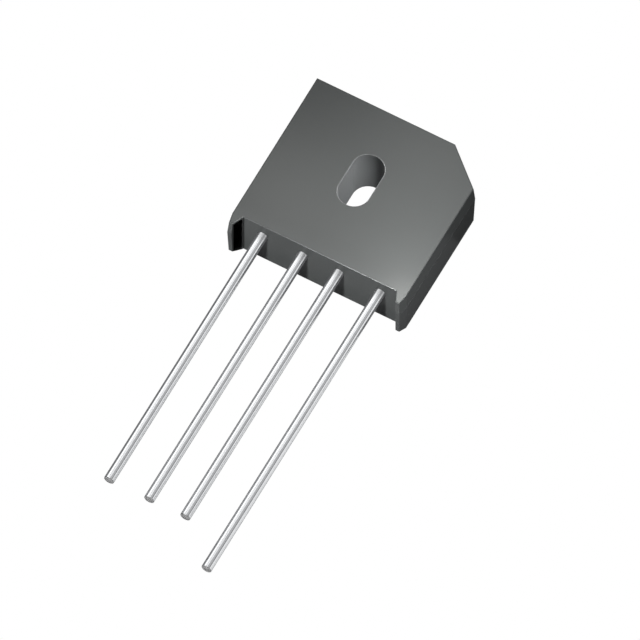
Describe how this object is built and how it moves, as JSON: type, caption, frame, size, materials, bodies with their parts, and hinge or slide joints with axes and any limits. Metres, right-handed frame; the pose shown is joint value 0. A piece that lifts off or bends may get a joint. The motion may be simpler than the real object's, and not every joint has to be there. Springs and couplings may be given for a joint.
{
  "type": "bridge rectifier",
  "caption": "In-line bridge rectifier: flat moulded case with a screw slot, a cut corner at the plus side and short ears at its bottom ends, and straight round wire leads from the bottom edge.",
  "frame": {"origin": "axis of the screw slot, on the flat back face", "axes": "+X across the leads towards the plus side, where the corner is cut; +Y away from the leads, towards the top edge; +Z from the back face towards the front face"},
  "size_m": [0.0228, 0.061, 0.0075],
  "materials": {
    "epoxy": "smooth moulded, dull",
    "tinned_wire": "bright tinned wire with fine drawing marks",
    "copper": "punched sheet",
    "solder": "reflowed",
    "silicon": "lapped"
  },
  "bodies": {
    "root": {"ac_jumper_left": "copper", "ac_jumper_right": "copper", "ac_lead_left": "tinned_wire", "ac_lead_right": "tinned_wire", "ac_plate_left": "copper", "ac_plate_right": "copper", "die_lower_left": "silicon", "die_lower_right": "silicon", "die_upper_left": "silicon", "die_upper_right": "silicon", "minus_jumper": "copper", "minus_lead": "tinned_wire", "minus_plate": "copper", "moulded_case": "epoxy", "plus_lead": "tinned_wire", "plus_plate": "copper", "solder_ac_lead_left": "solder", "solder_ac_lead_right": "solder", "solder_minus_lead": "solder", "solder_on_die_lower_left": "solder", "solder_on_die_lower_right": "solder", "solder_on_die_upper_left": "solder", "solder_on_die_upper_right": "solder", "solder_plus_lead": "solder", "solder_under_die_lower_left": "solder", "solder_under_die_lower_right": "solder", "solder_under_die_upper_left": "solder", "solder_under_die_upper_right": "solder", "solder_under_jumper_left": "solder", "solder_under_jumper_right": "solder", "solder_under_minus_jumper": "solder"}
  },
  "joints": []
}
